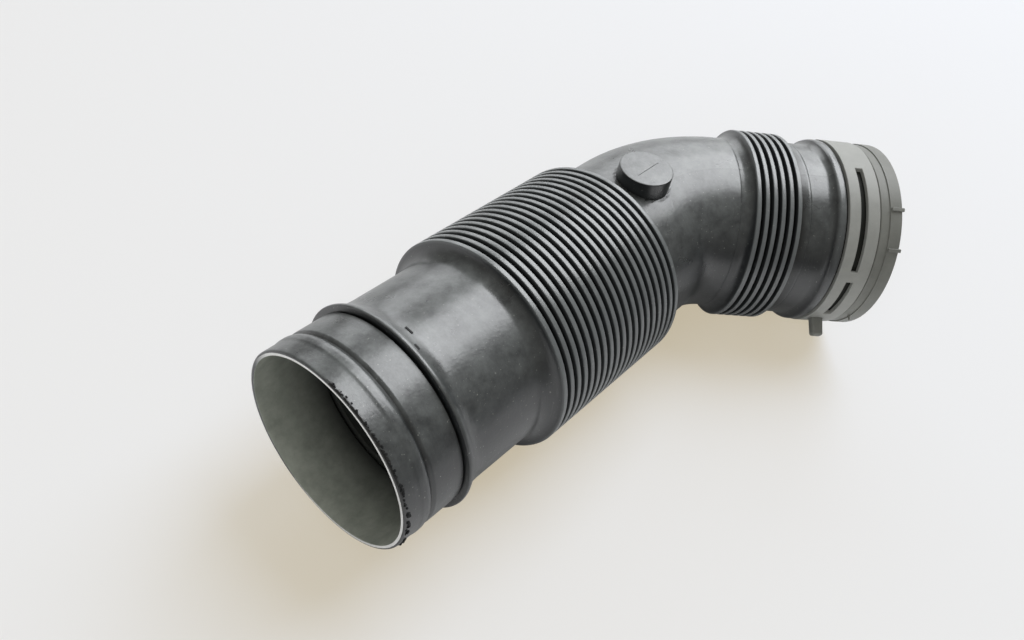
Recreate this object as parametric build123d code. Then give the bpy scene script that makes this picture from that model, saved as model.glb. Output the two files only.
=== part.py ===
from build123d import *
import math
import os

# Car air intake duct: a blow-moulded bellows elbow with a slotted quick coupling on its outlet.
# Millimetres. The inlet mouth is centred on the origin, its axis runs along +X into the duct,
# the elbow turns towards -Y in the level plane, and +Z is up.

# Driving dimensions of the smooth duct
MOUTH_OUTER_R = 40.0
WALL = 2.0
LIP_ROUND = 0.8
GROOVE_X = 12.4
GROOVE_WIDTH = 1.6
GROOVE_DEPTH = 0.5
RIB_X = 27.4
RIB_RISE = 2.4
RIB_FRONT = 0.4
RIB_TOP = 1.8
RIB_BACK = 2.4
RIB_HOLLOW = 1.0
BARREL_OUTER_R = 39.4
ELBOW_OUTER_R = 39.6
NECK_OUTER_R = 40.5

# Driving dimensions of the two bellows
LONG_BELLOWS_X = 73.9
LONG_CRESTS = 19
LONG_PITCH = 4.02
LONG_CREST_R = 45.5
LONG_FLARE = 6.5
SHORT_CRESTS = 6
SHORT_PITCH = 3.75
SHORT_CREST_R = 43.9
SHORT_FLARE = 6.1
CREST_SHARE = 0.52
CREST_DRAFT = 0.3
CONVOLUTION_DEPTH = 4.2
BELLOWS_WALL = 0.7
BELLOWS_RUNOUT = 3.0

# Driving dimensions of the elbow and its blanked port
ELBOW_ANGLE = 44.5
ELBOW_RADIUS = 60.0
ELBOW_RUN = 25.6
PORT_R = 11.5
PORT_BACK = 8.0
PORT_OFFSET = -2.0
PORT_RISE = 5.9
PORT_FOOT_ROUND = 1.2
PORT_EDGE_ROUND = 0.4

# Driving dimensions of the flared end
NECK_LENGTH = 12.0
END_FLARE = 3.7
END_BEAD = 4.3
BEAD_OUTER_R = 43.3
BEAD_ROUND = 1.4

# Driving dimensions of the coupling collar
COLLAR_WALL = 2.0
COLLAR_SETBACK = 1.0
SOCKET_R = 38.0
SOCKET_WALL = 3.2
SOCKET_DEPTH = 25.0
STOP_SLOPE = 1.0
SOCKET_LEAD_IN = 1.0
BAND_LENGTH = 10.0
BAND_RISE = 2.2
BAND_STEP = 0.5
BAND_STEP_LENGTH = 4.2
BAND_ROUND = 0.5
END_RIB_ANGLES = (34.0, 58.0)
END_RIB_LENGTH = 5.4
END_RIB_WIDTH = 1.6
END_RIB_RISE = 0.9
END_RIB_PROUD = 0.6
PEG_ANGLE = 122.0
PEG_SETBACK = 5.6
PEG_AXIAL = 6.0
PEG_ACROSS = 4.4
PEG_REACH = 8.5
PEG_ROUND = 1.6
PEG_ROOT = 0.8

# Driving dimensions of the retaining ring and the seal
RING_WIDTH = 14.5
RING_WALL = 2.2
RING_GAP = 0.75
RING_EDGE_ROUND = 0.4
SLOT_WIDTH = 3.4
SLOT_SETBACK = 7.0
SLOT_START = 8.0
LONG_SLOT_SPAN = 65.5
SLOT_WEB_SPAN = 7.0
SHORT_SLOT_SPAN = 31.0
SLOT_SETS = 2
SEAL_WIDTH = 4.0
SEAL_DEPTH = 2.0
SEAL_SETBACK = 15.0
SEAL_ROUND = 0.7

# Named clearances, and how far a cutting form runs past the face that it opens
SLIDE_CLEARANCE = 0.2
PRESS_CLEARANCE = 0.1
SEAL_RECESS = 0.05
CUT_PAST = 5.0

# Radii that follow from what fits on what
INSERT_R = NECK_OUTER_R - WALL - PRESS_CLEARANCE
BEAD_SEAT_R = BEAD_OUTER_R - WALL - PRESS_CLEARANCE
SEAT_R = SOCKET_R + SOCKET_WALL
BAND_R = SEAT_R + BAND_RISE
RING_INNER_R = SEAT_R + SLIDE_CLEARANCE
RING_OUTER_R = RING_INNER_R + RING_WALL

# Places along the inlet axis
LONG_BELLOWS_END = LONG_BELLOWS_X + LONG_CRESTS * LONG_PITCH
BEND_X = LONG_BELLOWS_END + ELBOW_RUN
TANGENT = ELBOW_RADIUS * math.tan(math.radians(ELBOW_ANGLE / 2))

# Places along the outlet axis, measured from the point where the two axes meet
OUTLET = Location((BEND_X + TANGENT, 0, 0), (0, 0, -ELBOW_ANGLE))
SHORT_BELLOWS_T = TANGENT + SHORT_FLARE
SHORT_BELLOWS_END = SHORT_BELLOWS_T + SHORT_CRESTS * SHORT_PITCH
NECK_END_T = SHORT_BELLOWS_END + NECK_LENGTH
BEAD_T = NECK_END_T + END_FLARE
HOSE_END_T = BEAD_T + END_BEAD
RING_T = HOSE_END_T + RING_GAP
BAND_T = RING_T + RING_WIDTH + RING_GAP
COLLAR_END_T = BAND_T + BAND_LENGTH


def rounded_corner(face, corner, radius):
    """The face with the corner nearest to the given point rounded."""
    nearest = face.vertices().sort_by_distance((corner[0], corner[1], 0))[0]
    return fillet(nearest, radius)


def convolutions(start, crests, pitch, crest_r, skin):
    """Outline of a row of bellows crests, set in by the skin: nothing outside, the wall inside."""
    width = CREST_SHARE * pitch
    top_r = crest_r - skin
    root_r = crest_r - CONVOLUTION_DEPTH - skin
    points = []
    for index in range(crests):
        front = start + index * pitch + skin
        back = start + index * pitch + width - skin
        if index > 0:
            points.append((front - CREST_DRAFT, root_r))
        points.append((front, top_r))
        points.append((back, top_r))
        points.append((back + CREST_DRAFT, root_r))
    points.append((start + crests * pitch, root_r))
    return points


def inlet_form(skin, bellows_skin, mouth_past):
    """Inlet half of the duct as a solid: its outside, or its bore where the skins are the walls."""
    rib_top_r = MOUTH_OUTER_R + RIB_RISE
    mouth_r = MOUTH_OUTER_R - skin
    barrel_r = BARREL_OUTER_R - skin
    rib_end = RIB_X + RIB_FRONT + RIB_TOP + RIB_BACK
    if skin:
        middle = (RIB_X + rib_end) / 2
        collar = [
            (middle - RIB_HOLLOW, mouth_r),
            (middle, mouth_r + RIB_HOLLOW),
            (middle + RIB_HOLLOW, barrel_r),
        ]
    else:
        collar = [
            (GROOVE_X - GROOVE_WIDTH / 2, mouth_r),
            (GROOVE_X, mouth_r - GROOVE_DEPTH),
            (GROOVE_X + GROOVE_WIDTH / 2, mouth_r),
            (RIB_X, mouth_r),
            (RIB_X + RIB_FRONT, rib_top_r),
            (RIB_X + RIB_FRONT + RIB_TOP, rib_top_r),
            (rib_end, barrel_r),
        ]
    flare_foot = (LONG_BELLOWS_X - LONG_FLARE, barrel_r)
    crests = convolutions(LONG_BELLOWS_X, LONG_CRESTS, LONG_PITCH, LONG_CREST_R, bellows_skin)
    elbow_r = ELBOW_OUTER_R - skin
    front = Polyline((-mouth_past, 0), (-mouth_past, mouth_r), *collar, flare_foot)
    flare = TangentArc(flare_foot, crests[0], tangent=(1, 0))
    tube = (LONG_BELLOWS_END + BELLOWS_RUNOUT, elbow_r)
    back = Polyline(*crests, tube, (BEND_X, elbow_r), (BEND_X, 0), (-mouth_past, 0))
    face = make_face(front + flare + back)
    if not skin:
        face = rounded_corner(face, (0, mouth_r), LIP_ROUND)
    return revolve(Plane.XZ * face, Axis.X)


def elbow_form(skin):
    """Bend of the duct as a solid disc swept round the elbow's centre."""
    disc = Plane((BEND_X, 0, 0), x_dir=(0, 1, 0), z_dir=(1, 0, 0)) * Circle(ELBOW_OUTER_R - skin)
    return revolve(disc, Axis((BEND_X, -ELBOW_RADIUS, 0), (0, 0, -1)), ELBOW_ANGLE)


def port_form(skin):
    """Round blanked port on top of the elbow, level on top, sunk past the wall all round its foot."""
    reach = PORT_R + abs(PORT_OFFSET)
    foot = math.sqrt(ELBOW_OUTER_R**2 - reach**2) - 2 * WALL
    height = ELBOW_OUTER_R + PORT_RISE - skin - foot
    port = Pos(BEND_X - PORT_BACK, PORT_OFFSET, foot + height / 2) * Cylinder(PORT_R - skin, height)
    return fillet(port.faces().sort_by(Axis.Z)[-1].edges(), PORT_EDGE_ROUND)


def outlet_form(skin, bellows_skin, end_past):
    """Outlet half of the duct as a solid, on the outlet axis."""
    elbow_r = ELBOW_OUTER_R - skin
    neck_r = NECK_OUTER_R - skin
    bead_r = BEAD_OUTER_R - skin
    crests = convolutions(SHORT_BELLOWS_T, SHORT_CRESTS, SHORT_PITCH, SHORT_CREST_R, bellows_skin)
    front = Polyline((TANGENT, 0), (TANGENT, elbow_r))
    flare = TangentArc((TANGENT, elbow_r), crests[0], tangent=(1, 0))
    neck = Polyline(*crests, (SHORT_BELLOWS_END + BELLOWS_RUNOUT, neck_r), (NECK_END_T, neck_r))
    end_flare = TangentArc((NECK_END_T, neck_r), (BEAD_T, bead_r), tangent=(1, 0))
    end = HOSE_END_T + end_past
    back = Polyline((BEAD_T, bead_r), (end, bead_r), (end, 0), (TANGENT, 0))
    face = make_face(front + flare + neck + end_flare + back)
    if not skin:
        face = rounded_corner(face, (end, bead_r), BEAD_ROUND)
        face = rounded_corner(face, (BEAD_T, bead_r), BEAD_ROUND)
    return OUTLET * revolve(Plane.XZ * face, Axis.X)


def duct_hose():
    """The blow-moulded duct: its outside with the bore, which follows it a wall further in, taken out."""
    tube = inlet_form(0, 0, 0) + elbow_form(0) + outlet_form(0, 0, 0)
    outside = tube + port_form(0)
    new_edges = outside.edges() - tube.edges()
    foot = [edge for edge in new_edges if edge.geom_type not in (GeomType.LINE, GeomType.CIRCLE)]
    outside = fillet(foot, PORT_FOOT_ROUND)
    bore = inlet_form(WALL, BELLOWS_WALL, CUT_PAST) + elbow_form(WALL)
    bore = bore + outlet_form(WALL, BELLOWS_WALL, CUT_PAST) + port_form(WALL)
    return outside - bore


def coupling_collar():
    """Moulded socket: insert in the duct's neck, seat for the ring, stepped end band, ribs and peg."""
    insert_t = SHORT_BELLOWS_END + BELLOWS_RUNOUT + COLLAR_SETBACK
    shoulder_t = BEAD_T + PRESS_CLEARANCE
    stop_t = COLLAR_END_T - SOCKET_DEPTH
    seal_end = COLLAR_END_T - SEAL_SETBACK
    seal_start = seal_end - SEAL_WIDTH
    step_t = BAND_T + BAND_STEP_LENGTH
    face = make_face(
        Polyline(
            (insert_t, INSERT_R - COLLAR_WALL),
            (stop_t - STOP_SLOPE, INSERT_R - COLLAR_WALL),
            (stop_t, SOCKET_R),
            (seal_start, SOCKET_R),
            (seal_start, SOCKET_R + SEAL_DEPTH),
            (seal_end, SOCKET_R + SEAL_DEPTH),
            (seal_end, SOCKET_R),
            (COLLAR_END_T - SOCKET_LEAD_IN, SOCKET_R),
            (COLLAR_END_T, SOCKET_R + SOCKET_LEAD_IN),
            (COLLAR_END_T, BAND_R),
            (step_t, BAND_R),
            (step_t, BAND_R - BAND_STEP),
            (BAND_T, BAND_R - BAND_STEP),
            (BAND_T, SEAT_R),
            (RING_T - SLIDE_CLEARANCE, SEAT_R),
            (HOSE_END_T, BEAD_SEAT_R),
            (shoulder_t, BEAD_SEAT_R),
            (shoulder_t, INSERT_R),
            (insert_t, INSERT_R),
            close=True,
        )
    )
    face = rounded_corner(face, (COLLAR_END_T, BAND_R), BAND_ROUND)
    collar = revolve(Plane.XZ * face, Axis.X)
    rib_height = BAND_STEP + END_RIB_RISE
    rib_length = END_RIB_LENGTH + END_RIB_PROUD
    rib_place = Pos(
        COLLAR_END_T + END_RIB_PROUD - rib_length / 2, 0, BAND_R - BAND_STEP + rib_height / 2
    )
    for angle in END_RIB_ANGLES:
        collar = collar + Rot(X=angle) * rib_place * Box(rib_length, END_RIB_WIDTH, rib_height)
    tip_r = RING_OUTER_R + PEG_REACH
    root_r = SEAT_R - PEG_ROOT
    peg = extrude(RectangleRounded(PEG_AXIAL, PEG_ACROSS, PEG_ROUND), tip_r - root_r)
    peg = fillet(peg.faces().sort_by(Axis.Z)[-1].edges(), PEG_ROUND)
    collar = collar + Rot(X=PEG_ANGLE) * Pos(RING_T + PEG_SETBACK, 0, root_r) * peg
    return OUTLET * collar


def ring_slot(start, span):
    """Cutting form of one slot through the ring, with round ends, from an angle over a span."""
    middle_t = RING_T + SLOT_SETBACK
    end_turn = math.degrees(SLOT_WIDTH / 2 / RING_OUTER_R)
    depth = RING_WALL + 2 * CUT_PAST
    middle_r = (RING_INNER_R + RING_OUTER_R) / 2
    section = Plane.XZ * Pos(middle_t, middle_r) * Rectangle(SLOT_WIDTH, depth)
    slot = Rot(X=start + end_turn) * revolve(section, Axis.X, span - 2 * end_turn)
    for turn in (start + end_turn, start + span - end_turn):
        slot = slot + Rot(X=turn) * Pos(middle_t, 0, middle_r) * Cylinder(SLOT_WIDTH / 2, depth)
    return slot


def retaining_ring():
    """Slotted ring round the collar's seat, with a window for the collar's peg."""
    middle = Pos(RING_T + RING_WIDTH / 2, (RING_INNER_R + RING_OUTER_R) / 2)
    section = middle * RectangleRounded(RING_WIDTH, RING_WALL, RING_EDGE_ROUND)
    ring = revolve(Plane.XZ * section, Axis.X)
    short_start = SLOT_START + LONG_SLOT_SPAN + SLOT_WEB_SPAN
    slots = ring_slot(SLOT_START, LONG_SLOT_SPAN) + ring_slot(short_start, SHORT_SLOT_SPAN)
    for index in range(SLOT_SETS):
        ring = ring - Rot(X=index * 360 / SLOT_SETS) * slots
    window = RectangleRounded(
        PEG_AXIAL + 2 * SLIDE_CLEARANCE, PEG_ACROSS + 2 * SLIDE_CLEARANCE, PEG_ROUND + SLIDE_CLEARANCE
    )
    window = Pos(RING_T + PEG_SETBACK, 0, SEAT_R - CUT_PAST) * extrude(window, RING_WALL + 2 * CUT_PAST)
    return OUTLET * (ring - Rot(X=PEG_ANGLE) * window)


def coupling_seal():
    """Rubber ring in the socket's groove, drawn as pressed flush by the pipe that it seals on."""
    width = SEAL_WIDTH - 2 * PRESS_CLEARANCE
    depth = SEAL_DEPTH - SEAL_RECESS - PRESS_CLEARANCE
    middle_t = COLLAR_END_T - SEAL_SETBACK - SEAL_WIDTH / 2
    middle_r = SOCKET_R + SEAL_RECESS + depth / 2
    section = Pos(middle_t, middle_r) * RectangleRounded(width, depth, SEAL_ROUND)
    return OUTLET * revolve(Plane.XZ * section, Axis.X)


os.makedirs("parts", exist_ok=True)
export_step(duct_hose(), "parts/duct_hose.step")
export_step(coupling_collar(), "parts/coupling_collar.step")
export_step(retaining_ring(), "parts/retaining_ring.step")
export_step(coupling_seal(), "parts/coupling_seal.step")
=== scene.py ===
# %% [markdown]
# # A car's air intake duct
# The real object is one blow-moulded elastomer tube with two bellows and an elbow, and a moulded plastic
# quick coupling on its far end. The CAD model gives the frame: each new piece is modelled at its place in
# it.

# %% Load the frame
import math
import random

import bpy
from mathutils import Matrix, Vector


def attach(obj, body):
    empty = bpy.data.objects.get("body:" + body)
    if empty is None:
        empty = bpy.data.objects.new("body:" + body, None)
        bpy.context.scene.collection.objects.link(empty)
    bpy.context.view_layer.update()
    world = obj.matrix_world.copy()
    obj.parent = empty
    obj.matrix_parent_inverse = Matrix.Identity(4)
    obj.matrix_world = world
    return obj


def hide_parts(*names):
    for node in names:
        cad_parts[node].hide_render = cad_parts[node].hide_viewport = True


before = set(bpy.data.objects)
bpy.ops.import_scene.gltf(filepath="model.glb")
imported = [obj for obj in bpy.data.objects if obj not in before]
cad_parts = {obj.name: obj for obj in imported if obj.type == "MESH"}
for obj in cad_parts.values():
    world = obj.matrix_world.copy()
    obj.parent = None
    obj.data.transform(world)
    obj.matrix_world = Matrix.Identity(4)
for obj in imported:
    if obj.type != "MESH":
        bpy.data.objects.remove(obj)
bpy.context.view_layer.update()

MM = 0.001

# %% [markdown]
# ## Sizes
# The sizes are those of the CAD source, in millimetres. The inlet axis is X, and the outlet axis leaves the
# point where both meet at the elbow's angle. Places along the outlet axis are measured from that point.

# %% Sizes of the duct
WALL = 2.0
MOUTH_R = 40.0
BARREL_R = 39.4
ELBOW_R = 39.6
NECK_R = 40.5
GROOVE_X, GROOVE_HALF, GROOVE_DEPTH = 12.8, 1.2, 1.0
RIB_X, RIB_R, RIB_TOP_START, RIB_TOP_END, RIB_END = 27.4, 42.4, 27.8, 29.0, 32.0
LONG_START, LONG_CRESTS, LONG_PITCH, LONG_CREST_R, LONG_FLARE = 73.9, 19, 4.02, 45.5, 6.5
SHORT_CRESTS, SHORT_PITCH, SHORT_CREST_R, SHORT_FLARE = 6, 3.75, 43.9, 6.1
CREST_SHARE, CREST_DRAFT, CREST_DEPTH, BELLOWS_WALL, RUNOUT = 0.52, 0.3, 4.2, 0.7, 3.0
ELBOW_ANGLE = math.radians(44.5)
ELBOW_RADIUS = 60.0
LONG_END = LONG_START + LONG_CRESTS * LONG_PITCH
BEND_X = LONG_END + 25.6
TANGENT = ELBOW_RADIUS * math.tan(ELBOW_ANGLE / 2)
APEX_X = BEND_X + TANGENT
SHORT_START = TANGENT + SHORT_FLARE
SHORT_END = SHORT_START + SHORT_CRESTS * SHORT_PITCH
NECK_END = SHORT_END + 12.0
BEAD_START = NECK_END + 3.7
HOSE_END = BEAD_START + 4.3
BEAD_R = 43.3
print("elbow starts at", round(BEND_X, 2), "and the hose ends at", round(HOSE_END, 2))

# %% [markdown]
# ## Drawing and turning an outline
# A round piece is modelled as on a lathe: one vertex is extruded from point to point, its corners are
# rounded by a vertex bevel, and a Screw modifier turns the wire about an axis. The spin operator would do
# the same, but a modifier can be tried at other step counts first.

# %% Outline and lathe
STEPS = 128
SAME = 1e-6


def only(piece):
    """Selects one object and makes it active."""
    bpy.ops.object.select_all(action="DESELECT")
    piece.select_set(True)
    bpy.context.view_layer.objects.active = piece


def select_points(piece, wanted):
    """Selects the points that pass a test, and nothing else, and returns how many there are."""
    for part in list(piece.data.polygons) + list(piece.data.edges):
        part.select = False
    for vertex in piece.data.vertices:
        vertex.select = wanted(vertex.co)
    return sum(vertex.select for vertex in piece.data.vertices)


def draw_wire(name, points):
    """A wire in the XZ plane, drawn by extruding one vertex from point to point."""
    bpy.ops.object.select_all(action="DESELECT")
    bpy.ops.mesh.primitive_plane_add(size=MM)
    wire = bpy.context.object
    wire.name = wire.data.name = name
    places = [Vector((along * MM, 0.0, out * MM)) for along, out in points]
    bpy.ops.object.mode_set(mode="EDIT")
    bpy.ops.mesh.merge(type="CENTER")
    bpy.ops.transform.translate(value=places[0])
    for here, there in zip(places, places[1:]):
        bpy.ops.mesh.extrude_region_move(TRANSFORM_OT_translate={"value": there - here})
    bpy.ops.object.mode_set(mode="OBJECT")
    return wire


def round_corners(wire, corners, radius, segments=2):
    """Rounds the wire's corners that lie at the given points."""
    near = 0.02 * MM
    places = [Vector((along * MM, 0.0, out * MM)) for along, out in corners]
    select_points(wire, lambda here: any((here - place).length < near for place in places))
    bpy.ops.object.mode_set(mode="EDIT")
    bpy.ops.mesh.select_mode(type="VERT")
    bpy.ops.mesh.bevel(offset=radius * MM, segments=segments, affect="VERTICES")
    bpy.ops.object.mode_set(mode="OBJECT")


def mark_bore(wire, points):
    """Puts the wire's points that belong to the bore in a vertex group, which the turned mesh keeps."""
    near = 0.02 * MM
    places = [Vector((along * MM, 0.0, out * MM)) for along, out in points]
    inside = [v.index for v in wire.data.vertices if any((v.co - place).length < near for place in places)]
    wire.vertex_groups.new(name="bore").add(inside, 1.0, "REPLACE")


def turn_on_lathe(wire, steps=STEPS, axis="X"):
    """Turns the whole wire about an axis through the origin and joins the seam."""
    only(wire)
    turn = wire.modifiers.new("turn", "SCREW")
    turn.axis = axis
    turn.angle = math.tau
    turn.steps = turn.render_steps = steps
    turn.use_merge_vertices = True
    turn.merge_threshold = SAME
    bpy.ops.object.modifier_apply(modifier=turn.name)


def close_shell(piece):
    """Merges doubles and points all the faces outwards."""
    only(piece)
    bpy.ops.object.mode_set(mode="EDIT")
    bpy.ops.mesh.select_all(action="SELECT")
    bpy.ops.mesh.remove_doubles(threshold=5 * SAME)
    bpy.ops.mesh.normals_make_consistent(inside=False)
    bpy.ops.object.mode_set(mode="OBJECT")


def smooth(piece, degrees=35.0):
    """Smooth shading, with edges sharper than the angle left crisp and large faces kept flat."""
    only(piece)
    bpy.ops.object.shade_smooth_by_angle(angle=math.radians(degrees))
    weigh = piece.modifiers.new("weigh", "WEIGHTED_NORMAL")
    weigh.keep_sharp = True
    bpy.ops.object.modifier_apply(modifier=weigh.name)


def arc(start, end, steps):
    """Points of the arc from start to end that leaves start along the axis, without start itself."""
    run, rise = end[0] - start[0], end[1] - start[1]
    radius = (run**2 + rise**2) / (2 * rise)
    sweep = 2 * math.atan2(rise, run)
    turns = [sweep * step / steps for step in range(1, steps + 1)]
    return [(start[0] + radius * math.sin(turn), start[1] + radius * (1 - math.cos(turn))) for turn in turns]


def to_outlet(piece):
    """Puts a piece that was modelled along X on the outlet axis, with its place in its mesh."""
    only(piece)
    piece.rotation_euler = (0, 0, -ELBOW_ANGLE)
    piece.location = (APEX_X * MM, 0, 0)
    bpy.ops.object.transform_apply(location=True, rotation=True, scale=True)


# %% [markdown]
# ## The bellows
# Each crest is a flat-topped rib with slightly sloping sides, and the tube's thin wall follows it inside.
# One function gives the points of both skins, so the crests stay evenly spaced along the real pitch.

# %% Bellows outline
CREST_ROUND = 0.42


def crests(start, count, pitch, crest_r, skin):
    """Points of a row of crests, set in by the skin's thickness."""
    points = []
    for index in range(count):
        front = start + index * pitch + skin
        back = start + index * pitch + CREST_SHARE * pitch - skin
        root = crest_r - CREST_DEPTH - skin
        if index:
            points.append((front - CREST_DRAFT, root))
        points += [(front, crest_r - skin), (back, crest_r - skin), (back + CREST_DRAFT, root)]
    return points + [(start + count * pitch, crest_r - CREST_DEPTH - skin)]


long_out = crests(LONG_START, LONG_CRESTS, LONG_PITCH, LONG_CREST_R, 0)
long_in = crests(LONG_START, LONG_CRESTS, LONG_PITCH, LONG_CREST_R, BELLOWS_WALL)
short_out = crests(SHORT_START, SHORT_CRESTS, SHORT_PITCH, SHORT_CREST_R, 0)
short_in = crests(SHORT_START, SHORT_CRESTS, SHORT_PITCH, SHORT_CREST_R, BELLOWS_WALL)
print("crests", LONG_CRESTS, "and", SHORT_CRESTS)

# %% [markdown]
# ## The inlet half
# The outline runs from the elbow back through the bore to the mouth, round the lip and along the outside to
# the elbow again. The lip has a narrow flat inside its rounded edge, which is the white line: a pale cut
# face, and a painted highlight.

# %% Inlet half on the lathe
LIP_FLAT_R = 39.15
FOOT_DEPTH = 0.7
RIDGE_RISE = 0.35
bore_r = MOUTH_R - WALL
rib_middle = (RIB_X + RIB_END) / 2
flare_in = arc((LONG_START - LONG_FLARE, BARREL_R - WALL), long_in[0], 5)
bore = [(0, bore_r + 0.15), (0.5, bore_r), (rib_middle - 1, bore_r), (rib_middle, bore_r + 1)]
bore += [(rib_middle + 1, BARREL_R - WALL), (LONG_START - LONG_FLARE, BARREL_R - WALL)]
bore += flare_in + long_in[1:] + [(LONG_END + RUNOUT, ELBOW_R - WALL), (BEND_X, ELBOW_R - WALL)]
groove = [(GROOVE_X - GROOVE_HALF, MOUTH_R), (GROOVE_X, MOUTH_R - GROOVE_DEPTH)]
groove += [(GROOVE_X + GROOVE_HALF, MOUTH_R)]
rib_foot = [(RIB_X - 0.7, MOUTH_R), (RIB_X - 0.5, MOUTH_R - FOOT_DEPTH), (RIB_X, MOUTH_R - FOOT_DEPTH)]
rib = [(RIB_TOP_START, RIB_R), (RIB_TOP_END, RIB_R)]
rib_back = [(30.3, 41.7), (31.8, 40.75), (33.8, 40.0), (36.0, 39.6), (39.0, BARREL_R)]
flare_out = arc((LONG_START - LONG_FLARE, BARREL_R), long_out[0], 8)
ridge = [(6.6, MOUTH_R), (8.2, MOUTH_R + RIDGE_RISE), (10.2, MOUTH_R + RIDGE_RISE)]
outside = [(0, LIP_FLAT_R), (0, MOUTH_R), (1.7, MOUTH_R)] + ridge + groove + rib_foot + rib + rib_back
outside += [(45.0, BARREL_R), (56.0, BARREL_R), (LONG_START - LONG_FLARE, BARREL_R)]
outside += flare_out + long_out[1:] + [(LONG_END + RUNOUT, ELBOW_R), (BEND_X, ELBOW_R)]
duct = draw_wire("duct", bore[::-1] + outside)
mark_bore(duct, bore)
round_corners(duct, long_out[:-1], CREST_ROUND)
round_corners(duct, groove + ridge[1:], 0.4)
round_corners(duct, rib, 0.5, 3)
round_corners(duct, [(0, MOUTH_R)], 0.8, 4)
turn_on_lathe(duct)
print("inlet half", len(duct.data.polygons), "faces")

# %% [markdown]
# ## The outlet half
# Past the elbow come a concave flare, six crests, a plain neck and a rounded bead. It is turned along X as
# the inlet was, with the same steps, so that its first ring meets the elbow's last one vertex for vertex.

# %% Outlet half on the lathe
elbow_line = [(TANGENT + 0.3, ELBOW_R), (TANGENT + 0.6, ELBOW_R - 0.15), (TANGENT + 0.9, ELBOW_R)]
flare = [(TANGENT, ELBOW_R)] + elbow_line + arc((TANGENT + 0.9, ELBOW_R), short_out[0], 8)
end_flare = arc((NECK_END, NECK_R), (BEAD_START, BEAD_R), 5)
NECK_LINE_T, FINE_HALF = 57.4, 0.3
neck_line = [(NECK_LINE_T - FINE_HALF, NECK_R), (NECK_LINE_T, NECK_R - 0.2)]
neck_line += [(NECK_LINE_T + FINE_HALF, NECK_R)]
outside = flare + short_out[1:] + [(SHORT_END + RUNOUT, NECK_R)] + neck_line
outside += [(NECK_END, NECK_R)] + end_flare
outside += [(HOSE_END, BEAD_R), (HOSE_END, BEAD_R - WALL)]
bore = [(TANGENT, ELBOW_R - WALL)] + arc((TANGENT, ELBOW_R - WALL), short_in[0], 5) + short_in[1:]
bore += [(SHORT_END + RUNOUT, NECK_R - WALL), (NECK_END, NECK_R - WALL)]
bore += arc((NECK_END, NECK_R - WALL), (BEAD_START, BEAD_R - WALL), 5)
outlet = draw_wire("outlet", outside + bore[::-1])
mark_bore(outlet, bore)
round_corners(outlet, short_out[:-1], CREST_ROUND)
round_corners(outlet, [(BEAD_START, BEAD_R), (HOSE_END, BEAD_R)], 1.4, 4)
turn_on_lathe(outlet)
print("outlet half", len(outlet.data.polygons), "faces")

# %% [markdown]
# ## The mould's parting line
# A blow mould closes along two lines, and leaves a fine ridge there. Three cuts through the axis give each
# half of the tube a narrow strip, whose middle is pushed out later.

# %% Cut the strip of the parting line
PARTING_ANGLE = math.radians(13.2)
PARTING_HALF = math.radians(0.42)


def cut_along(piece, around):
    """Cuts the mesh along its axis, at an angle from the top towards -Y and at the angle opposite."""
    only(piece)
    bpy.ops.object.mode_set(mode="EDIT")
    bpy.ops.mesh.select_all(action="SELECT")
    across = (0, -math.cos(around), -math.sin(around))
    bpy.ops.mesh.bisect(plane_co=(0, 0, 0), plane_no=across)
    bpy.ops.object.mode_set(mode="OBJECT")


for half in (duct, outlet):
    for offset in (-PARTING_HALF, 0.0, PARTING_HALF):
        cut_along(half, PARTING_ANGLE + offset)
print("parting line cut at", round(math.degrees(PARTING_ANGLE), 1), "degrees")

# %% [markdown]
# ## The elbow
# The open rings of the inlet half are copied to a mesh of their own and spun about the elbow's axis. The
# outlet half is then moved to its place, all three are joined and the doubles merged, so the duct is one
# closed shell.

# %% Elbow by spinning the open end
ELBOW_STEPS = 16
select_points(duct, lambda here: abs(here.x - BEND_X * MM) < 5 * SAME)
only(duct)
bpy.ops.object.mode_set(mode="EDIT")
bpy.ops.mesh.duplicate()
bpy.ops.mesh.separate(type="SELECTED")
bpy.ops.object.mode_set(mode="OBJECT")
elbow = next(made for made in bpy.context.selected_objects if made != duct)
only(elbow)
bpy.ops.object.mode_set(mode="EDIT")
bpy.ops.mesh.select_all(action="SELECT")
elbow_centre = (BEND_X * MM, -ELBOW_RADIUS * MM, 0)
bpy.ops.mesh.spin(steps=ELBOW_STEPS, angle=ELBOW_ANGLE, center=elbow_centre, axis=(0, 0, 1))
bpy.ops.object.mode_set(mode="OBJECT")
to_outlet(outlet)
only(duct)
elbow.select_set(True)
outlet.select_set(True)
bpy.ops.object.join()
close_shell(duct)
print("duct", len(duct.data.polygons), "faces")

# %% [markdown]
# ## Places on the duct
# A finish that follows the tube needs to know how far along it and how far round a point is. One function
# works that out from the place alone, on the inlet, the elbow or the outlet.


# %% Along and around
def along_around(place):
    """Distance along the duct and from its axis in mm, and the angle from the top towards -Y."""
    x, y, z = place.x / MM, place.y / MM, place.z / MM
    out_x = (x - APEX_X) * math.cos(ELBOW_ANGLE) - y * math.sin(ELBOW_ANGLE)
    out_y = (x - APEX_X) * math.sin(ELBOW_ANGLE) + y * math.cos(ELBOW_ANGLE)
    if out_x >= TANGENT - 0.01:
        along = BEND_X + ELBOW_RADIUS * ELBOW_ANGLE + out_x - TANGENT
        return along, math.hypot(out_y, z), math.atan2(-out_y, z)
    if x <= BEND_X:
        return x, math.hypot(y, z), math.atan2(-y, z)
    turn = math.atan2(x - BEND_X, y + ELBOW_RADIUS)
    side = math.hypot(x - BEND_X, y + ELBOW_RADIUS) - ELBOW_RADIUS
    return BEND_X + ELBOW_RADIUS * turn, math.hypot(side, z), math.atan2(-side, z)


# %% Raise the ridge of the parting line
RIDGE = 0.08
NEAR_LINE = math.radians(0.1)


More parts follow.
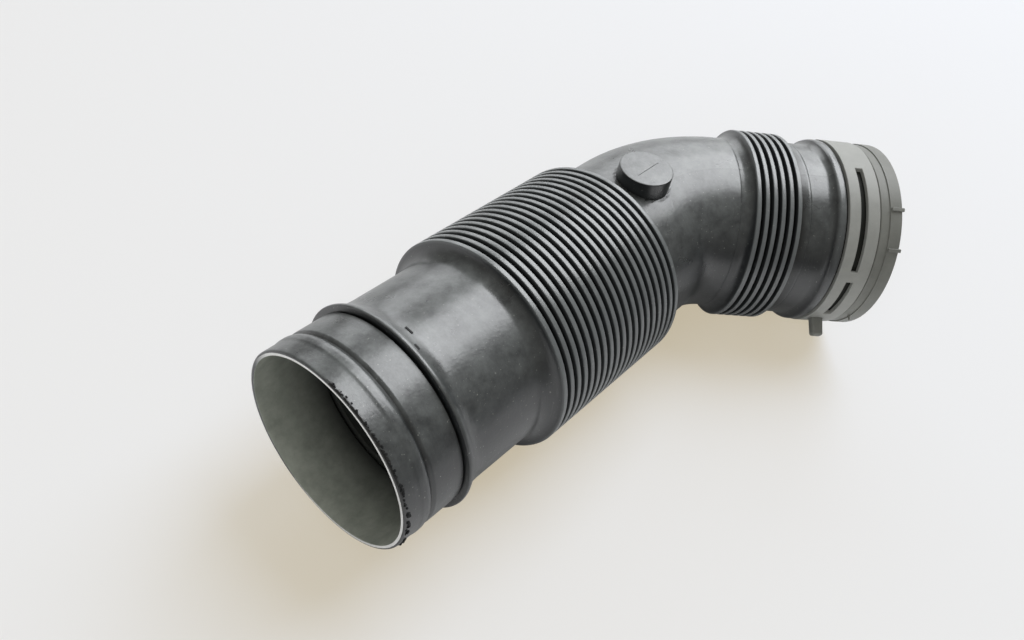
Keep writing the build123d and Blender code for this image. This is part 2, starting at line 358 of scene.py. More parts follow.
def on_ridge(place):
    """Whether a point lies on the outside of the duct, on either parting line."""
    along, out, around = along_around(place)
    from_line = min(abs(around - PARTING_ANGLE), abs(abs(around - PARTING_ANGLE) - math.pi))
    return from_line < NEAR_LINE and out > 39.0 and along > LONG_END


raised = select_points(duct, on_ridge)
only(duct)
bpy.ops.object.mode_set(mode="EDIT")
bpy.ops.transform.shrink_fatten(value=RIDGE * MM)
bpy.ops.object.mode_set(mode="OBJECT")
smooth(duct)
print("ridge points raised", raised)

# %% [markdown]
# ## The blanked port
# A round stub on the elbow is closed by a level disc. Its foot flares into the elbow, and the elbow is
# curved, so the lower rings are dropped on to it by shrinkwrap modifiers, each with its own height above
# the surface.

# %% Port on the lathe, its foot wrapped to the elbow
PORT_X, PORT_Y, PORT_R, PORT_TOP = BEND_X - 8.0, -2.0, 11.5, 45.5
FOOT_ROUND = 1.2
FOOT_STEPS = 4
foot_turns = [math.pi / 2 * step / FOOT_STEPS for step in range(FOOT_STEPS + 1)]
foot_rings = [(FOOT_ROUND * (1 - math.cos(turn)), FOOT_ROUND * (1 - math.sin(turn))) for turn in foot_turns]
port_points = [(0, PORT_TOP), (PORT_R - 0.9, PORT_TOP), (PORT_R, PORT_TOP)]
port_points += [(PORT_R + out, 40.0 - 0.4 * index) for index, (out, rise) in enumerate(foot_rings)]
port_points += [(PORT_R, 30.0), (0, 30.0)]
port = draw_wire("blanked_port", port_points)
round_corners(port, [(PORT_R, PORT_TOP)], 0.4, 3)
turn_on_lathe(port, 96, "Z")
only(port)
port.location = (PORT_X * MM, PORT_Y * MM, 0)
bpy.ops.object.transform_apply(location=True, rotation=True, scale=True)
close_shell(port)
for index, (out, rise) in enumerate(foot_rings):
    ring = port.vertex_groups.new(name="foot_%d" % index)
    level = (40.0 - 0.4 * index) * MM
    ring.add([v.index for v in port.data.vertices if abs(v.co.z - level) < 0.05 * MM], 1.0, "REPLACE")
    wrap = port.modifiers.new("foot", "SHRINKWRAP")
    wrap.target = duct
    wrap.wrap_method = "PROJECT"
    wrap.use_project_z = True
    wrap.use_negative_direction = wrap.use_positive_direction = True
    wrap.vertex_group = ring.name
    wrap.wrap_mode = "ON_SURFACE"
    wrap.offset = 0.0
    bpy.ops.object.modifier_apply(modifier=wrap.name)
    for part in list(port.data.polygons) + list(port.data.edges):
        part.select = False
    for vertex in port.data.vertices:
        vertex.select = any(group.group == ring.index for group in vertex.groups)
    bpy.ops.object.mode_set(mode="EDIT")
    bpy.ops.transform.translate(value=(0, 0, (rise - 0.03) * MM))
    bpy.ops.object.mode_set(mode="OBJECT")
print("port foot follows the elbow in", len(foot_rings), "rings")

# %% [markdown]
# A short witness line crosses the disc. Four cuts outline it, and the strip between them is pushed in.

# %% Witness line on the port
LINE_Y, LINE_HALF, LINE_START, LINE_END, LINE_DEPTH = -3.0, 0.2, 160.5, 175.0, 0.25
only(port)
bpy.ops.object.mode_set(mode="EDIT")
for place, normal in (
    ((0, (LINE_Y - LINE_HALF) * MM, 0), (0, 1, 0)),
    ((0, (LINE_Y + LINE_HALF) * MM, 0), (0, 1, 0)),
    ((LINE_START * MM, 0, 0), (1, 0, 0)),
    ((LINE_END * MM, 0, 0), (1, 0, 0)),
):
    bpy.ops.mesh.select_all(action="SELECT")
    bpy.ops.mesh.bisect(plane_co=place, plane_no=normal)
bpy.ops.mesh.select_all(action="DESELECT")
bpy.ops.mesh.select_mode(type="FACE")
bpy.ops.object.mode_set(mode="OBJECT")
for face in port.data.polygons:
    inside = abs(face.center.y - LINE_Y * MM) < LINE_HALF * MM
    inside = inside and LINE_START * MM < face.center.x < LINE_END * MM
    face.select = inside and face.center.z > (PORT_TOP - 0.01) * MM
bpy.ops.object.mode_set(mode="EDIT")
bpy.ops.mesh.extrude_region_move(TRANSFORM_OT_translate={"value": (0, 0, -LINE_DEPTH * MM)})
bpy.ops.mesh.select_mode(type="VERT")
bpy.ops.object.mode_set(mode="OBJECT")
smooth(port)
print("port", len(port.data.polygons), "faces")

# %% [markdown]
# ## The coupling's collar
# The collar is a moulded socket. Its insert sits in the duct's neck, its seat carries the ring, and its
# stepped end band, two small ribs and a locking peg are what shows.

# %% Collar on the lathe
SOCKET_R, SEAT_R, BAND_R, INSERT_R, BEAD_SEAT_R = 38.0, 41.2, 43.4, 38.4, 41.2
RING_START = HOSE_END + 0.75
RING_END = RING_START + 14.5
BAND_START = RING_END + 0.75
COLLAR_END = BAND_START + 10.0
STEP_T = BAND_START + 4.2
INSERT_T = SHORT_END + RUNOUT + 1.0
SHOULDER_T = BEAD_START + 0.1
STOP_T = COLLAR_END - 25.0
SEAL_END = COLLAR_END - 15.0
SEAL_START = SEAL_END - 4.0
collar_points = [
    (INSERT_T, INSERT_R - 2.0), (STOP_T - 1.0, INSERT_R - 2.0), (STOP_T, SOCKET_R), (SEAL_START, SOCKET_R),
    (SEAL_START, SOCKET_R + 2.0), (SEAL_END, SOCKET_R + 2.0), (SEAL_END, SOCKET_R),
    (COLLAR_END - 1.0, SOCKET_R), (COLLAR_END, SOCKET_R + 1.0), (COLLAR_END, BAND_R), (STEP_T, BAND_R),
    (STEP_T, BAND_R - 0.5), (BAND_START, BAND_R - 0.5), (BAND_START, SEAT_R), (SHOULDER_T, BEAD_SEAT_R),
    (SHOULDER_T, INSERT_R), (INSERT_T, INSERT_R), (INSERT_T, INSERT_R - 2.0),
]
collar = draw_wire("collar", collar_points)
round_corners(collar, [(COLLAR_END, BAND_R), (BAND_START, BAND_R - 0.5)], 0.5, 3)
round_corners(collar, [(STEP_T, BAND_R), (COLLAR_END, SOCKET_R + 1.0)], 0.2)
turn_on_lathe(collar)
close_shell(collar)
print("collar", len(collar.data.polygons), "faces")


# %% [markdown]
# The ribs and the peg are boxes with bevelled edges, turned to their angle and joined to the collar by a
# Boolean.


# %% Ribs and peg
def bevelled_box(name, centre, size, around, radius, taper=1.0):
    """A box on the outlet axis at an angle round it, tapered to its tip and with bevelled edges."""
    bpy.ops.object.select_all(action="DESELECT")
    bpy.ops.mesh.primitive_cube_add(size=1.0)
    made = bpy.context.object
    made.name = made.data.name = name
    bpy.ops.object.mode_set(mode="EDIT")
    bpy.ops.transform.resize(value=[side * MM for side in size])
    bpy.ops.object.mode_set(mode="OBJECT")
    select_points(made, lambda here: here.z > 0)
    bpy.ops.object.mode_set(mode="EDIT")
    bpy.ops.transform.resize(value=(taper, taper, 1.0))
    bpy.ops.mesh.select_all(action="SELECT")
    bpy.ops.mesh.bevel(offset=radius * MM, segments=4, affect="EDGES")
    bpy.ops.object.mode_set(mode="OBJECT")
    made.matrix_world = Matrix.Rotation(around, 4, "X") @ Matrix.Translation([side * MM for side in centre])
    bpy.ops.object.transform_apply(location=True, rotation=True, scale=True)
    return made


def combine(base, tool, operation):
    """Joins a tool to the base, or cuts it away, and removes the tool."""
    only(base)
    change = base.modifiers.new("combine", "BOOLEAN")
    change.operation = operation
    change.object = tool
    change.solver = "EXACT"
    bpy.ops.object.modifier_apply(modifier=change.name)
    bpy.data.objects.remove(tool)


PEG_ANGLE, PEG_T = math.radians(122.0), RING_START + 5.6
PEG_ROOT, PEG_TIP = SEAT_R - 0.8, 43.6 + 8.5
for angle in (34.0, 58.0):
    rib_centre = (COLLAR_END + 0.6 - 3.0, 0, BAND_R - 0.5 + 0.7)
    small_rib = bevelled_box("end_rib", rib_centre, (6.0, 1.6, 1.4), math.radians(angle), 0.25)
    combine(collar, small_rib, "UNION")
SLIVER_T, SLIVER_ANGLE = 92.8, math.radians(113.0)
sliver = bevelled_box("torn_sliver", (SLIVER_T, 0, BAND_R + 0.7), (1.0, 0.7, 2.8), SLIVER_ANGLE, 0.06, 0.5)
combine(collar, sliver, "UNION")
peg_centre = (PEG_T, 0, (PEG_ROOT + PEG_TIP) / 2)
peg = bevelled_box("peg", peg_centre, (6.0, 4.4, PEG_TIP - PEG_ROOT), PEG_ANGLE, 1.3, 0.94)
combine(collar, peg, "UNION")
to_outlet(collar)
smooth(collar)
print("collar with ribs and peg", len(collar.data.polygons), "faces")

# %% [markdown]
# ## The retaining ring
# A light grey ring snaps over the collar's seat. It has two long and two short slots, and a window for the
# peg. The slots are cut from a turned ring, and a bevel then softens every sharp edge, as a mould would.

# %% Ring with its slots
RING_IN, RING_OUT = 41.4, 43.6
SLOT_T, SLOT_WIDTH = RING_START + 7.0, 3.4
ring_points = [(RING_START, RING_IN), (RING_END, RING_IN), (RING_END, RING_OUT), (RING_START, RING_OUT)]
ring = draw_wire("retaining_ring_shell", ring_points + ring_points[:1])
turn_on_lathe(ring, 180)
close_shell(ring)


def slot_cutter(start, span):
    """A curved block, from an angle over a span, that cuts one slot."""
    low, high = SLOT_T - SLOT_WIDTH / 2, SLOT_T + SLOT_WIDTH / 2
    corners = [(low, RING_IN - 3), (high, RING_IN - 3), (high, RING_OUT + 3), (low, RING_OUT + 3)]
    cutter = draw_wire("slot", corners)
    only(cutter)
    bpy.ops.object.mode_set(mode="EDIT")
    bpy.ops.mesh.select_all(action="SELECT")
    bpy.ops.mesh.edge_face_add()
    steps = max(6, round(span / 2))
    bpy.ops.mesh.spin(steps=steps, angle=math.radians(span), center=(0, 0, 0), axis=(-1, 0, 0))
    bpy.ops.mesh.select_all(action="SELECT")
    bpy.ops.mesh.normals_make_consistent(inside=False)
    bpy.ops.object.mode_set(mode="OBJECT")
    cutter.rotation_euler = (math.radians(start), 0, 0)
    bpy.ops.object.transform_apply(location=True, rotation=True, scale=True)
    return cutter


for side in (0.0, 180.0):
    for start, span in ((8.0, 65.5), (80.5, 31.0)):
        combine(ring, slot_cutter(start + side, span), "DIFFERENCE")
window = bevelled_box("window", (PEG_T, 0, 42.5), (6.4, 4.8, 12.0), PEG_ANGLE, 0.6)
combine(ring, window, "DIFFERENCE")
only(ring)
soften = ring.modifiers.new("soften", "BEVEL")
soften.width = 0.3 * MM
soften.segments = 3
soften.limit_method = "ANGLE"
soften.angle_limit = math.radians(40)
bpy.ops.object.modifier_apply(modifier=soften.name)
to_outlet(ring)
smooth(ring)
print("ring", len(ring.data.polygons), "faces")

# %% [markdown]
# ## Wear on the lip and the coupling
# The cut lip crumbles on its near side, and one tag stands out on its far side. Each crumb is a small
# sphere whose points are moved at random, with a seed of its own, and it sits half sunk in the lip's edge.
# Two short moulding marks behind the stop rib are made as thin bevelled bars, and all of them become one
# piece.

# %% Crumbs and moulding marks
random.seed(7)
crumb_spots = [(random.uniform(2.0, 62.0), random.uniform(0.25, 0.55)) for index in range(34)]
crumb_spots += [(random.uniform(60.0, 112.0), random.uniform(0.35, 0.85)) for index in range(30)]
crumb_spots += [(196.0, 0.8)]


def crumb(degrees, size, seed):
    """A torn lump, half sunk in the lip's outer edge at an angle from the top towards -Y."""
    bpy.ops.object.select_all(action="DESELECT")
    bpy.ops.mesh.primitive_ico_sphere_add(subdivisions=2, radius=size * MM)
    made = bpy.context.object
    bpy.ops.object.mode_set(mode="EDIT")
    bpy.ops.transform.vertex_random(offset=0.4 * size * MM, seed=seed)
    bpy.ops.object.mode_set(mode="OBJECT")
    place = Vector((1.5 * size + random.uniform(0.1, 0.7), 0.0, MOUTH_R - 0.12)) * MM
    made.matrix_world = Matrix.Rotation(math.radians(degrees), 4, "X") @ Matrix.Translation(place)
    bpy.ops.object.transform_apply(location=True, rotation=True, scale=True)
    return made


bits = [crumb(degrees, size, seed) for seed, (degrees, size) in enumerate(crumb_spots)]
MARKS = ((34.0, 39.95, 3.4, 2.5), (30.6, 41.5, 2.2, 12.5))
for mark_x, mark_r, length, degrees in MARKS:
    mark_size = (0.8, length, 0.6)
    bits.append(bevelled_box("mark", (mark_x, 0, mark_r), mark_size, math.radians(degrees), 0.1))
lip_wear = bits[0]
only(lip_wear)
for bit in bits[1:]:
    bit.select_set(True)
bpy.ops.object.join()
lip_wear.name = lip_wear.data.name = "lip_wear"
smooth(lip_wear, 60.0)
print("crumbs and marks", len(bits))

# %% [markdown]
# ## Materials
# Colours are sRGB hex values, turned to linear by one function, except the floor's two seen colours, which
# are linear already. One function adds a node. Pattern scales are worked out from real sizes in millimetres.


# %% Colour and node helpers
def colour(hex_code):
    """Linear colour of an sRGB hex value."""
    parts = [int(hex_code[index:index + 2], 16) / 255 for index in (1, 3, 5)]
    return [part / 12.92 if part <= 0.04045 else ((part + 0.055) / 1.055) ** 2.4 for part in parts] + [1.0]


def per(size_mm):
    """Texture scale at which a pattern's features have this size."""
    return 1.0 / (size_mm * MM)


def add_node(tree, kind, inputs, **settings):
    """Adds a node with its settings, and sets or links its inputs."""
    made = tree.nodes.new(kind)
    for name, value in settings.items():
        setattr(made, name, value)
    for socket, value in inputs.items():
        if isinstance(value, bpy.types.NodeSocket):
            tree.links.new(value, made.inputs[socket])
        else:
            made.inputs[socket].default_value = value
    return made


def new_material(name):
    """An empty node material and its tree, with the shader ready."""
    made = bpy.data.materials.new(name)
    made.use_nodes = True
    return made, made.node_tree, made.node_tree.nodes["Principled BSDF"]


# %% [markdown]
# The duct is a thermoplastic elastomer, blow-moulded: nearly black, satin, with a grey bloom of dust and
# scuffs. Faces that point up are lighter, partly from dust and partly as a painted sheen from the light
# above. A map of its own gives the distance along and round the tube, so that scuffs run round it. Four
# attributes tell apart the crest tops, lighter from rubbing and from a painted highlight, the narrow gaps
# and the bore further in, darkened as painted shade, the dusty bore and the crumbled edge of the lip.

# %% Map and attributes of the duct
duct.data.uv_layers.new(name="tube")
for attribute_name in ("wear_and_highlight", "painted_shade", "bore_side", "crumbled"):
    duct.data.attributes.new(attribute_name, "FLOAT", "POINT")
around_map = duct.data.uv_layers["tube"]
wear_and_highlight, painted_shade, bore_side = [duct.data.attributes[kept] for kept in ("wear_and_highlight", "painted_shade", "bore_side")]
crumbled = duct.data.attributes["crumbled"]
places = [along_around(vertex.co) for vertex in duct.data.vertices]
SHORT_ALONG = BEND_X + ELBOW_RADIUS * ELBOW_ANGLE + SHORT_FLARE
SHORT_ALONG_END = SHORT_ALONG + SHORT_CRESTS * SHORT_PITCH


# The bore gets painted shade from this far in, growing over this length up to this darkness.
BORE_LIT, BORE_FADE, DARKEST = 9.0, 17.0, 0.97


def gap_shade(along, out):
    """Painted shade of a point of the outside in a narrow crevice, from 0 at the surface to 1 at its bottom.
    """
    if LONG_START < along < LONG_END + 0.5:
        return min(max((LONG_CREST_R - 0.12 - out) / 0.7, 0.0), 1.0)
    if SHORT_ALONG < along < SHORT_ALONG_END + 0.5:
        return min(max((SHORT_CREST_R - 0.12 - out) / 0.7, 0.0), 1.0)
    if RIB_X - 0.6 < along < RIB_TOP_START + 0.05:
        return 1.0 if out < RIB_R - 0.9 else 0.0
    if abs(along - GROOVE_X) < 0.9:
        return min(max((MOUTH_R - 0.3 - out) / 0.9, 0.0), 0.7)
    return 0.0


for vertex, (along, out, around) in zip(duct.data.vertices, places):
    inside = max([group.weight for group in vertex.groups], default=0.0)
    crest = LONG_CREST_R if along < BEND_X else SHORT_CREST_R
    bore_side.data[vertex.index].value = inside
    # Crest tops are lighter towards their crest: rubbing, and a painted highlight.
    wear_and_highlight.data[vertex.index].value = 0.0 if inside else min(max((out - crest + 0.9) / 0.9, 0.0), 1.0)
    shade = min(max(along - BORE_LIT, 0.0) / BORE_FADE, DARKEST)
    painted_darkness = shade if inside else gap_shade(along, out)
    painted_shade.data[vertex.index].value = painted_darkness
    on_edge = not inside and along < 1.2 and 0.0 < math.degrees(around) < 112.0
    crumbled.data[vertex.index].value = 0.0 if not on_edge else 0.8 if math.degrees(around) < 62.0 else 1.0
for face in duct.data.polygons:
    turns = [places[duct.data.loops[loop].vertex_index][2] for loop in face.loop_indices]
    wraps = max(turns) - min(turns) > math.pi
    for loop, turn in zip(face.loop_indices, turns):
        along = places[duct.data.loops[loop].vertex_index][0]
        turn = turn + math.tau if wraps and turn < 0 else turn
        around_map.data[loop].uv = (along * MM, turn * MOUTH_R * MM)
print("bore points", sum(side.value > 0.5 for side in bore_side.data), "of", len(places))

# %% Duct elastomer
elastomer, tree, shader = new_material("blow_moulded_elastomer")
spot = add_node(tree, "ShaderNodeTexCoord", {}).outputs["Object"]
tube = add_node(tree, "ShaderNodeUVMap", {}, uv_map="tube").outputs["UV"]
worn_and_lit = add_node(tree, "ShaderNodeAttribute", {}, attribute_name="wear_and_highlight").outputs["Fac"]
shade_amount = add_node(tree, "ShaderNodeAttribute", {}, attribute_name="painted_shade").outputs["Fac"]
inner = add_node(tree, "ShaderNodeAttribute", {}, attribute_name="bore_side").outputs["Fac"]
bloom = add_node(
    tree, "ShaderNodeTexNoise",
    {
        "Vector": spot,
        "Scale": per(30),
        "Detail": 7.0,
        "Roughness": 0.6,
    },
)
patches = add_node(
    tree, "ShaderNodeMapRange",
    {
        "Value": bloom.outputs["Fac"],
        "From Min": 0.25,
        "From Max": 0.75,
    },
)
mottle = add_node(
    tree, "ShaderNodeMix",
    {
        0: patches.outputs["Result"],
        6: colour("#141618"),
        7: colour("#282b2d"),
    },
    data_type="RGBA",
)
# Faces that point up turn lighter: dust, and a painted sheen from the light above.
facing = add_node(
    tree, "ShaderNodeSeparateXYZ",
    {
        0: add_node(tree, "ShaderNodeNewGeometry", {}).outputs["Normal"],
    },
)
dust_and_sheen_on_top = add_node(
    tree, "ShaderNodeMapRange",
    {
        "Value": facing.outputs["Z"],
        "From Min": 0.3,
        "From Max": 1.0,
        "To Max": 0.5,
    },
)
dust_cloud = add_node(
    tree, "ShaderNodeTexNoise",
    {
        "Vector": spot,
        "Scale": per(7),
        "Detail": 8.0,
        "Roughness": 0.7,
    },
)
drifts = add_node(
    tree, "ShaderNodeMapRange",
    {
        "Value": dust_cloud.outputs["Fac"],
        "From Min": 0.25,
        "From Max": 0.75,
    },
)
dust_and_sheen_part = add_node(
    tree, "ShaderNodeMath",
    {
        0: dust_and_sheen_on_top.outputs["Result"],
        1: drifts.outputs["Result"],
    },
    operation="MULTIPLY",
)
dusted_and_lit = add_node(
    tree, "ShaderNodeMix",
    {
        0: dust_and_sheen_part.outputs[0],
        6: mottle.outputs[2],
        7: colour("#a3a8a6"),
    },
    data_type="RGBA",
)
stretched = add_node(tree, "ShaderNodeMapping", {"Vector": tube, "Scale": (per(0.4), per(11), 1.0)})
scuff = add_node(
    tree, "ShaderNodeTexNoise",
    {
        "Vector": stretched.outputs["Vector"],
        "Scale": 1.0,
        "Detail": 8.0,
        "Roughness": 0.7,
    },
)
scuffed = add_node(
    tree, "ShaderNodeMapRange",
    {
        "Value": scuff.outputs["Fac"],
        "From Min": 0.56,
        "From Max": 0.8,
        "To Max": 0.22,
    },
)
grazed = add_node(
    tree, "ShaderNodeMix",
    {
        0: scuffed.outputs["Result"],
        6: dusted_and_lit.outputs[2],
        7: colour("#94999a"),
    },
    data_type="RGBA",
)
# Crest tops lightened, partly from rubbing and partly as a painted highlight.
rubbed_and_lit = add_node(tree, "ShaderNodeMath", {0: worn_and_lit, 1: 0.42}, operation="MULTIPLY")
topped = add_node(
    tree, "ShaderNodeMix",
    {
        0: rubbed_and_lit.outputs[0],
        6: grazed.outputs[2],
        7: colour("#8d9293"),
    },
    data_type="RGBA",
)
grit = add_node(tree, "ShaderNodeTexNoise", {"Vector": spot, "Scale": per(0.9), "Detail": 3.0})
specks = add_node(
    tree, "ShaderNodeMapRange",
    {
        "Value": grit.outputs["Fac"],
        "From Min": 0.68,
        "From Max": 0.75,
        "To Max": 0.6,
    },
)
gritty = add_node(
    tree, "ShaderNodeMix",
    {
        0: specks.outputs["Result"],
        6: topped.outputs[2],
        7: colour("#b4b5ae"),
    },
    data_type="RGBA",
)
film = add_node(
    tree, "ShaderNodeMix",
    {
        0: drifts.outputs["Result"],
        6: colour("#a0a69b"),
        7: colour("#d2d7cb"),
    },
    data_type="RGBA",
)
sided = add_node(
    tree, "ShaderNodeMix",
    {
        0: inner,
        6: gritty.outputs[2],
        7: film.outputs[2],
    },
    data_type="RGBA",
)
# Painted shade: crevices outside and the bore further in are mixed towards near black.
shaded = add_node(
    tree, "ShaderNodeMix",
    {
        0: shade_amount,
        6: sided.outputs[2],
        7: colour("#050606"),
    },
    data_type="RGBA",
)
edge_worn = add_node(tree, "ShaderNodeAttribute", {}, attribute_name="crumbled").outputs["Fac"]
bits_noise = add_node(tree, "ShaderNodeTexNoise", {"Vector": spot, "Scale": per(1.1), "Detail": 4.0})
bits_sum = add_node(
    tree, "ShaderNodeMath", {0: edge_worn, 1: 0.5, 2: bits_noise.outputs["Fac"]}, operation="MULTIPLY_ADD"
)
ragged = add_node(
    tree, "ShaderNodeMapRange",
    {
        "Value": bits_sum.outputs[0],
        "From Min": 0.74,
        "From Max": 0.82,
    },
)
torn = add_node(
    tree, "ShaderNodeMix",
    {
        0: ragged.outputs["Result"],
        6: shaded.outputs[2],
        7: colour("#0b0c0c"),
    },
    data_type="RGBA",
)
gloss = add_node(
    tree,
    "ShaderNodeMapRange",
    {"Value": bloom.outputs["Fac"], "From Min": 0.3, "From Max": 0.7, "To Min": 0.26, "To Max": 0.36},
)
matted = add_node(tree, "ShaderNodeMix", {0: inner, 2: gloss.outputs["Result"], 3: 0.8})
grain = add_node(tree, "ShaderNodeTexNoise", {"Vector": spot, "Scale": per(1.2), "Detail": 5.0})
raised = add_node(
    tree, "ShaderNodeBump", {"Height": grain.outputs["Fac"], "Strength": 0.16, "Distance": 0.3 * MM}
)
tree.links.new(torn.outputs[2], shader.inputs["Base Color"])
tree.links.new(matted.outputs[0], shader.inputs["Roughness"])
tree.links.new(raised.outputs["Normal"], shader.inputs["Normal"])
shader.inputs["IOR"].default_value = 1.52
shader.inputs["Specular IOR Level"].default_value = 1.0
duct.data.materials.append(elastomer)
port.data.materials.append(elastomer)
print("elastomer nodes", len(tree.nodes))

# %% [markdown]
# The lip's flat was cut after moulding. The cut face is pale, and its white line round most of the mouth is
# also a painted highlight, which fades on the far low side to the dark of the tube.

# %% Pale cut edge of the lip
cut_face_and_highlight, tree, shader = new_material("cut_elastomer_pale_highlight")
spot = add_node(tree, "ShaderNodeTexCoord", {}).outputs["Object"]
# Painted highlight: the white fades out on the far low side, where no highlight is painted.
side = add_node(tree, "ShaderNodeVectorMath", {0: spot, 1: (0.0, 0.94, -0.34)}, operation="DOT_PRODUCT")
highlight_fade = add_node(
    tree,
    "ShaderNodeMapRange",
    {"Value": side.outputs["Value"], "From Min": 18 * MM, "From Max": 30 * MM},
)
fleck = add_node(tree, "ShaderNodeTexNoise", {"Vector": spot, "Scale": per(2.5), "Detail": 4.0})
pale = add_node(
    tree, "ShaderNodeMix",
    {
        0: fleck.outputs["Fac"],
        6: colour("#ffffff"),
        7: colour("#dfe0db"),
    },
    data_type="RGBA",
)
edge = add_node(
    tree, "ShaderNodeMix",
    {
        0: highlight_fade.outputs["Result"],
        6: pale.outputs[2],
        7: colour("#34373a"),
    },
    data_type="RGBA",
)
tree.links.new(edge.outputs[2], shader.inputs["Base Color"])
shader.inputs["Roughness"].default_value = 0.35
duct.data.materials.append(cut_face_and_highlight)
lip_faces = 0
for face in duct.data.polygons:
    out = math.hypot(face.center.y, face.center.z) / MM
    if face.center.x < 0.02 * MM and out < LIP_FLAT_R:
        face.material_index = 1
        lip_faces += 1
print("pale lip faces", lip_faces)


# %% [markdown]
# The collar is a glass-filled nylon, dark grey, and the ring an unpainted light grey one. Both are moulded
# with a fine matt texture and differ only in colour and gloss, so one function makes them. It also makes
# the near-black seat behind the slots, which is painted shade, the matt black rubber of the seal, and the
# torn bits, blacker than the skin.


# %% Collar and ring plastics
def moulded_plastic(name, dark, light, smoothest, roughest):
    """A moulded plastic that varies between two greys, with a fine matt grain."""
    made, tree, shader = new_material(name)
    spot = add_node(tree, "ShaderNodeTexCoord", {}).outputs["Object"]
    cloud = add_node(
        tree, "ShaderNodeTexNoise",
        {
            "Vector": spot,
            "Scale": per(9),
            "Detail": 6.0,
            "Roughness": 0.65,
        },
    )
    base = add_node(
        tree, "ShaderNodeMix",
        {
            0: cloud.outputs["Fac"],
            6: colour(dark),
            7: colour(light),
        },
        data_type="RGBA",
    )
    dust = add_node(tree, "ShaderNodeTexNoise", {"Vector": spot, "Scale": per(0.9), "Detail": 3.0})
    specks = add_node(
        tree, "ShaderNodeMapRange",
        {
            "Value": dust.outputs["Fac"],
            "From Min": 0.62,
            "From Max": 0.74,
            "To Max": 0.35,
        },
    )
    marked = add_node(
        tree, "ShaderNodeMix",
        {
            0: specks.outputs["Result"],
            6: base.outputs[2],
            7: colour(dark),
        },
        data_type="RGBA",
    )
    gloss = add_node(
        tree, "ShaderNodeMapRange",
        {
            "Value": cloud.outputs["Fac"],
            "To Min": smoothest,
            "To Max": roughest,
        },
    )
    grain = add_node(tree, "ShaderNodeTexNoise", {"Vector": spot, "Scale": per(0.5), "Detail": 3.0})
    raised = add_node(
        tree, "ShaderNodeBump",
        {
            "Height": grain.outputs["Fac"],
            "Strength": 0.12,
            "Distance": 0.2 * MM,
        },
    )
    tree.links.new(marked.outputs[2], shader.inputs["Base Color"])
    tree.links.new(gloss.outputs["Result"], shader.inputs["Roughness"])
    tree.links.new(raised.outputs["Normal"], shader.inputs["Normal"])
    return made


collar.data.materials.append(moulded_plastic("glass_filled_nylon_dark", "#6c6d68", "#8d8e88", 0.36, 0.55))
# The seat behind the slots is painted near black as shade.
collar.data.materials.append(moulded_plastic("nylon_seat_painted_shade", "#151613", "#242520", 0.6, 0.75))
shaded_seat_faces = 0
for face in collar.data.polygons:
    along, out, around = along_around(face.center)
    along = along - (BEND_X + ELBOW_RADIUS * ELBOW_ANGLE - TANGENT)
    if SHOULDER_T - 0.5 < along < BAND_START + 0.3 and SEAT_R - 0.2 < out < RING_IN + 0.1:
        face.material_index = 1
        shaded_seat_faces += 1
print("seat faces in painted shade", shaded_seat_faces)
ring.data.materials.append(moulded_plastic("unpainted_nylon_light", "#8e8f8b", "#acada8", 0.38, 0.56))
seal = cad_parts["coupling_seal"]
seal.data.materials.clear()
seal.data.materials.append(moulded_plastic("seal_rubber_black", "#161616", "#262726", 0.5, 0.7))
lip_wear.data.materials.append(moulded_plastic("torn_elastomer_black", "#070808", "#17191a", 0.55, 0.75))
print("plastics set")

# %% [markdown]
# ## Ride on the frame
# Nothing moves on this part, so every piece rides on the one body and says which CAD node it stands for.

# %% Bodies and nodes
for piece, node, slot_name in (
    (duct, "duct_hose", "duct_elastomer"),
    (port, None, "duct_elastomer"),
    (lip_wear, None, "duct_elastomer"),
    (collar, "coupling_collar", "collar_plastic"),
    (ring, "retaining_ring", "ring_plastic"),
):
    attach(piece, "root")
    if node:
        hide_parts(node)
    print(piece.name, "stands for", node)

# %% [markdown]
# ## Floor, light and camera
# The object lies on a plain pale floor. A large soft light above and ahead gives the broad sheen along the
# top, a lower one behind lights the far edge, and a weak one reaches into the mouth. To the camera the
# floor's shadow is warm, and to the object the floor is pale near it and dark further off. The camera has
# the photo's view.

# %% Floor
FLOOR_Z = -45.5
SEEN_SHADOW = (0.50, 0.43, 0.30, 1.0)
SEEN_LIT = (0.34, 0.41, 0.54, 1.0)
bpy.ops.object.select_all(action="DESELECT")
bpy.ops.mesh.primitive_plane_add(size=6.0, location=(0.15, -0.05, FLOOR_Z * MM))
floor = bpy.context.object
floor.name = "floor"
white, tree, shader = new_material("white_table")
shader.inputs["Roughness"].default_value = 0.7
on_table = add_node(
    tree, "ShaderNodeSeparateXYZ",
    {
        0: add_node(tree, "ShaderNodeTexCoord", {}).outputs["Object"],
    },
)
nearness = add_node(
    tree, "ShaderNodeMapRange",
    {
        "Value": on_table.outputs["Y"],
        "From Min": -0.3,
        "From Max": -0.16,
    },
)
sheet = add_node(
    tree, "ShaderNodeMix",
    {
        0: nearness.outputs["Result"],
        6: colour("#585858"),
        7: colour("#ececec"),
    },
    data_type="RGBA",
)
tree.links.new(sheet.outputs[2], shader.inputs["Base Color"])
seen = add_node(tree, "ShaderNodeLightPath", {}).outputs["Is Camera Ray"]
lit = add_node(tree, "ShaderNodeBsdfDiffuse", {"Color": SEEN_LIT})
glow = add_node(tree, "ShaderNodeEmission", {"Color": SEEN_SHADOW})
both = add_node(tree, "ShaderNodeAddShader", {0: lit.outputs[0], 1: glow.outputs[0]})
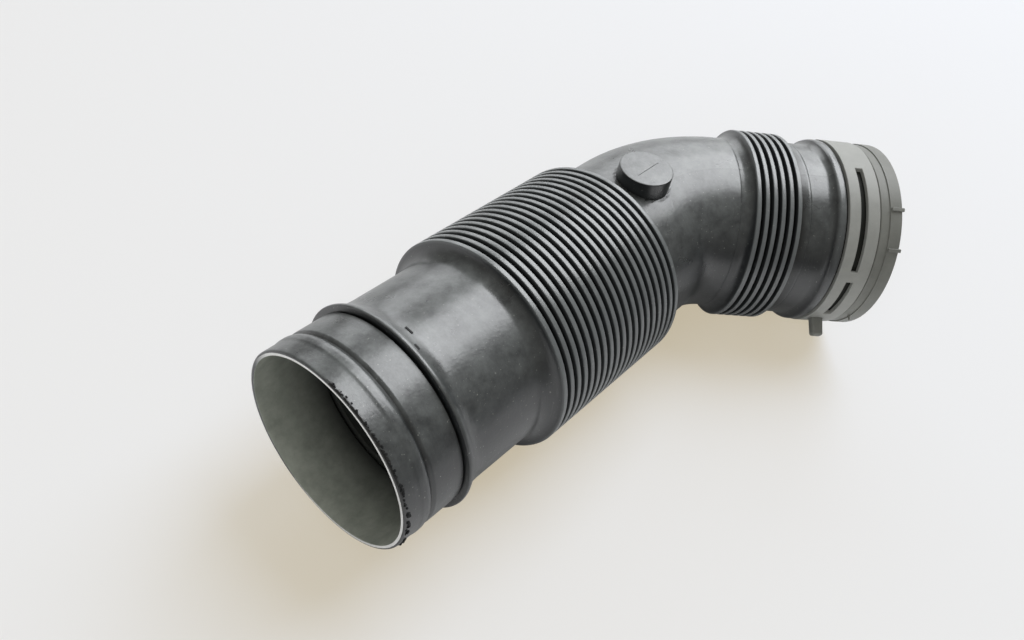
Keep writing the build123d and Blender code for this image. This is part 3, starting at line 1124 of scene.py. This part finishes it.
table = add_node(tree, "ShaderNodeMixShader", {0: seen, 1: shader.outputs[0], 2: both.outputs[0]})
tree.links.new(table.outputs[0], tree.nodes["Material Output"].inputs["Surface"])
floor.data.materials.append(white)
print("floor at", FLOOR_Z, "mm")


# %% Light
def soft_light(name, place, target, width, height, watts, tint):
    """A rectangular soft light that points from its place at a target, both in metres."""
    lamp = bpy.data.lights.new(name, "AREA")
    lamp.shape = "RECTANGLE"
    lamp.size, lamp.size_y = width, height
    lamp.energy = watts
    lamp.color = colour(tint)[:3]
    holder = bpy.data.objects.new(name, lamp)
    bpy.context.scene.collection.objects.link(holder)
    holder.location = place
    holder.rotation_euler = (Vector(target) - Vector(place)).to_track_quat("-Z", "Y").to_euler()
    return holder


middle = (0.13, -0.03, 0.0)
soft_light("overhead", (1.56, -0.03, 2.05), middle, 2.0, 2.0, 56.0, "#fafcff")
soft_light("back_wall", (2.0, 1.45, 0.95), middle, 2.6, 1.4, 23.0, "#fafcff")
fill = soft_light("front_fill", (-2.0, -0.6, 1.3), middle, 1.5, 1.5, 18.0, "#ffffff")
fill.visible_glossy = False
world = bpy.data.worlds.new("room")
world.use_nodes = True
room = world.node_tree.nodes["Background"]
room.inputs["Color"].default_value = colour("#fbf8f0")
room.inputs["Strength"].default_value = 0.2
bpy.context.scene.world = world
bpy.context.scene.view_settings.view_transform = "Standard"
print("three lamps and a dim room")

# %% Camera
FOCAL_PIXELS, IMAGE_WIDTH, SENSOR = 867.704, 1024, 36.0
right = Vector((0.662, -0.733, 0.159))
up = Vector((0.469, 0.570, 0.675))
back = right.cross(up)
turn = Matrix((right, up, back)).transposed()
eye = bpy.data.cameras.new("camera")
eye.sensor_width = SENSOR
eye.lens = FOCAL_PIXELS / IMAGE_WIDTH * SENSOR
eye.clip_start = 0.01
camera = bpy.data.objects.new("camera", eye)
bpy.context.scene.collection.objects.link(camera)
camera.matrix_world = Matrix.Translation(Vector((-108.91, -130.78, 253.20)) * MM) @ turn.to_4x4()
bpy.context.scene.camera = camera
print("lens", round(eye.lens, 3), "mm")
